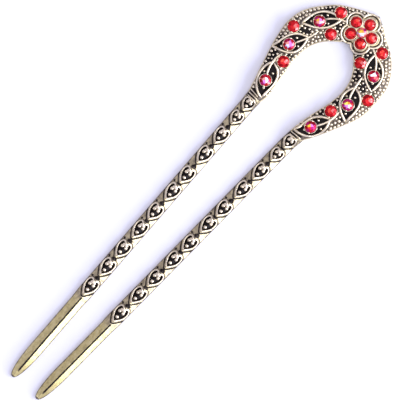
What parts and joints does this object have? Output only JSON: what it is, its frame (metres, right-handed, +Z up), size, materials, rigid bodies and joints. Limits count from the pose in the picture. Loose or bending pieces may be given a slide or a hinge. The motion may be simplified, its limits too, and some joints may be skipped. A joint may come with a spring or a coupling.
{
  "type": "u-shaped hairpin",
  "caption": "Flat U-shaped hair fork cast in one piece, with pointed legs, raised hearts, an arch of leaves and a flower, and cut stones in collars.",
  "frame": {"origin": "centre of the flat back, in the middle of the bounding box's lowest face", "axes": "+X from the leg tips towards the point of the arch, +Y towards the leg with the upper row of leaves, +Z up out of the ornament"},
  "size_m": [0.125, 0.0294, 0.0033],
  "materials": {
    "casting": "antique plated casting, polished relief over a blackened ground",
    "red_stone": "faceted foil-backed glass",
    "iris_stone": "faceted foil-backed glass with an iridescent coat"
  },
  "bodies": {
    "root": {"fork": "casting", "centre_stone": "iris_stone", "petal_stone_1": "red_stone", "petal_stone_2": "red_stone", "petal_stone_3": "red_stone", "petal_stone_4": "red_stone", "petal_stone_5": "red_stone", "leaf_stone_1": "iris_stone", "leaf_stone_2": "iris_stone", "leaf_stone_3": "iris_stone", "leaf_stone_4": "iris_stone", "leaf_stone_5": "iris_stone", "leaf_stone_6": "iris_stone", "round_stone_1": "red_stone", "round_stone_2": "red_stone", "round_stone_3": "red_stone", "round_stone_4": "red_stone", "round_stone_5": "red_stone", "round_stone_6": "red_stone", "round_stone_7": "red_stone", "round_stone_8": "red_stone"}
  },
  "joints": []
}
